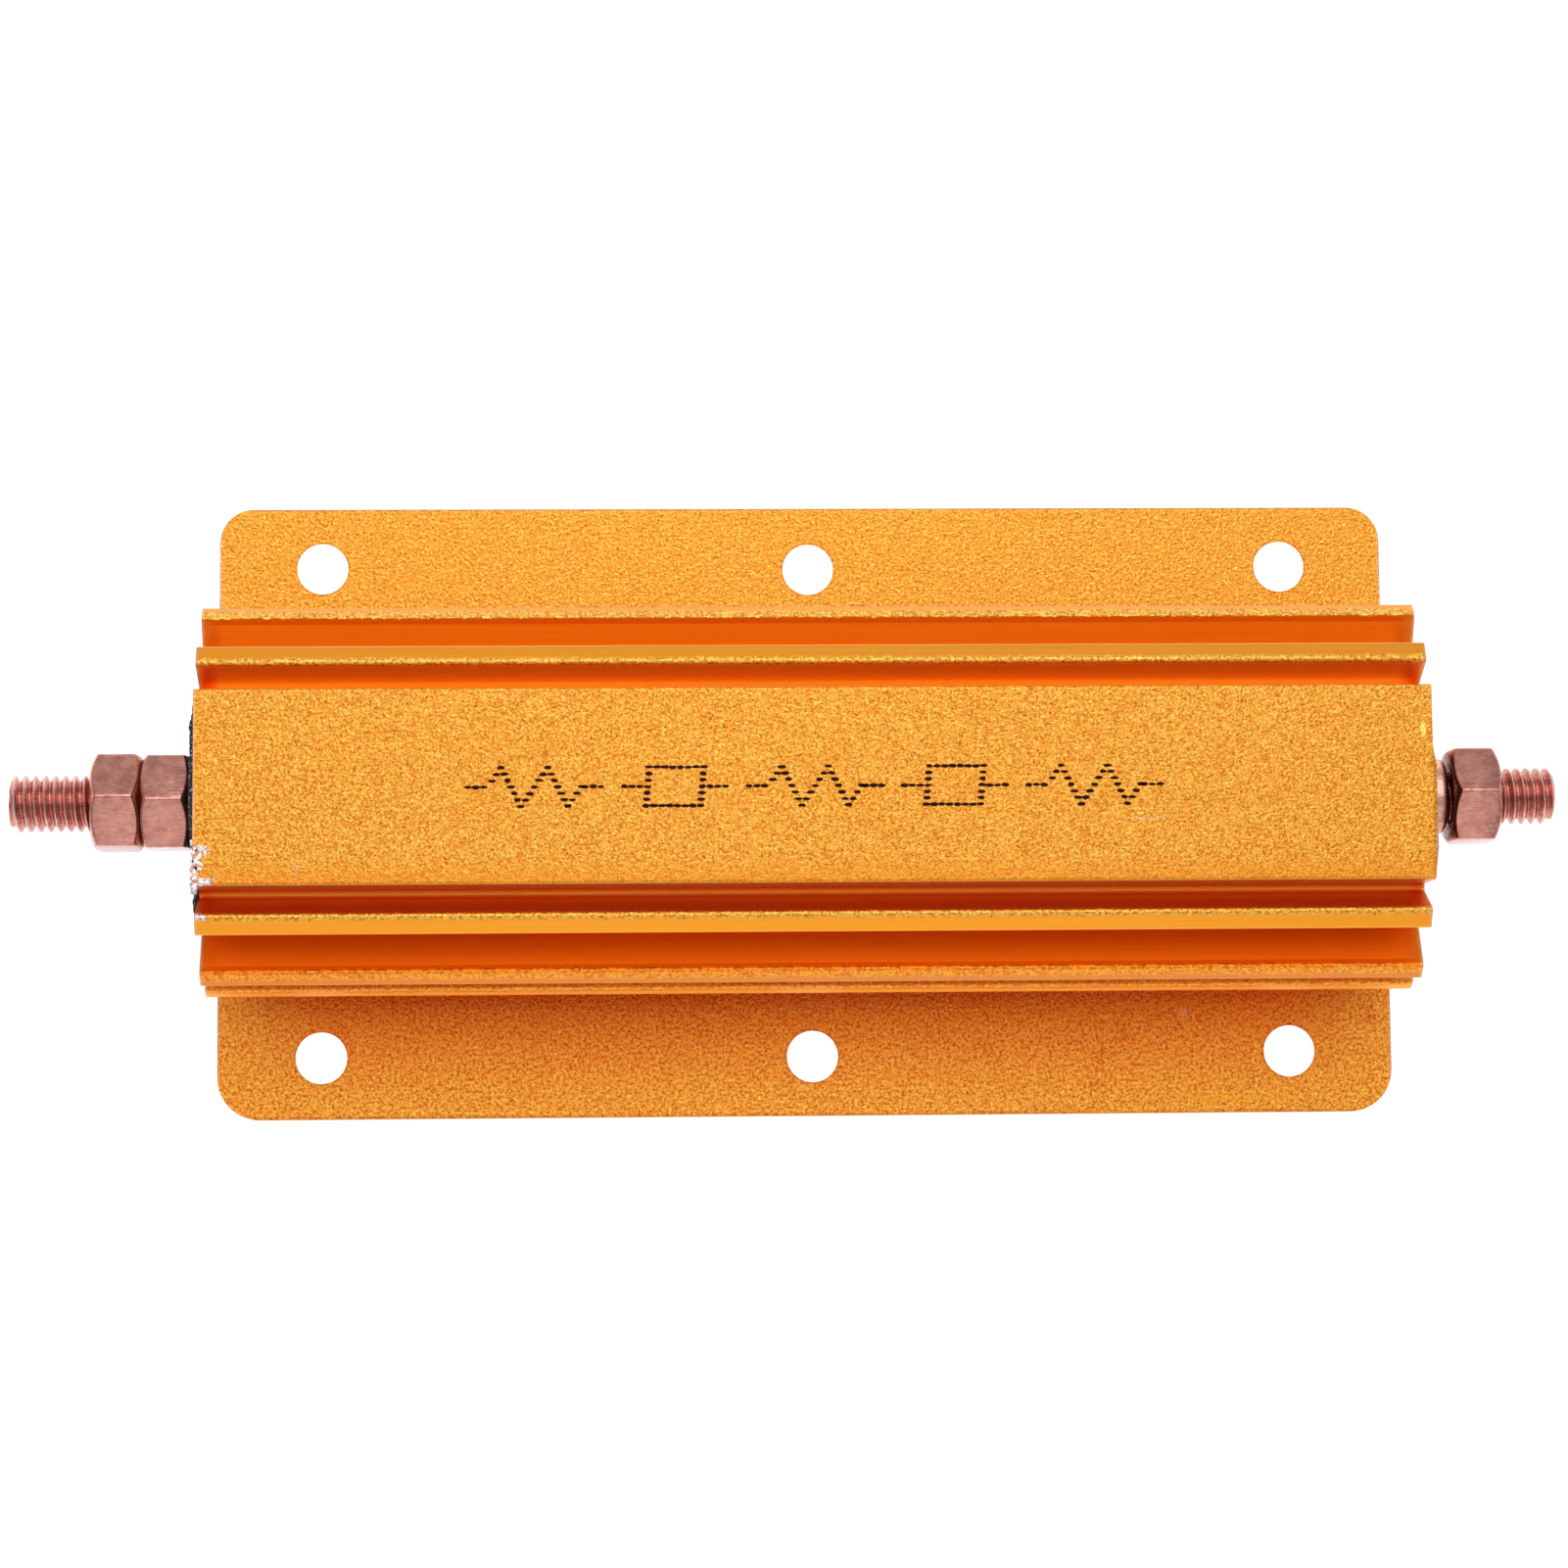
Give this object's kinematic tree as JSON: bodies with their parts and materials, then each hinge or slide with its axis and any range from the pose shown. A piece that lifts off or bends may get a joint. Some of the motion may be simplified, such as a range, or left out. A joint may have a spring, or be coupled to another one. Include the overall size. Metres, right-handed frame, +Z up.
{
  "type": "aluminium housed power resistor",
  "caption": "Wirewound power resistor in a finned gold aluminium housing with two drilled flanges and threaded stud terminals with nuts at both ends.",
  "frame": {"origin": "centre of the flat mounting face, halfway between the two ends of the aluminium body", "axes": "+X along the bore, from the end with two nuts to the end with one; +Z up from the mounting face through the flat block on top"},
  "size_m": [0.156, 0.0634, 0.028],
  "materials": {
    "anodised_aluminium": "sandblasted and gold anodised, darker and smoother between the fins",
    "steatite": "unglazed",
    "resistance_wire": "dull drawn",
    "filling_cement": "cast, matt",
    "cap_steel": "pressed, plain",
    "black_cement": "rough, matt black",
    "copper_plate": "copper plated, lightly brushed"
  },
  "bodies": {
    "root": {"housing": "anodised_aluminium", "ceramic_core": "steatite", "resistance_winding": "resistance_wire", "insulating_fill": "filling_cement", "end_cap_left": "cap_steel", "end_cap_right": "cap_steel", "end_seal_left": "black_cement", "end_seal_right": "black_cement", "terminal_stud_left": "copper_plate", "terminal_stud_right": "copper_plate", "inner_nut_left": "copper_plate", "outer_nut_left": "copper_plate", "nut_right": "copper_plate"}
  },
  "joints": []
}
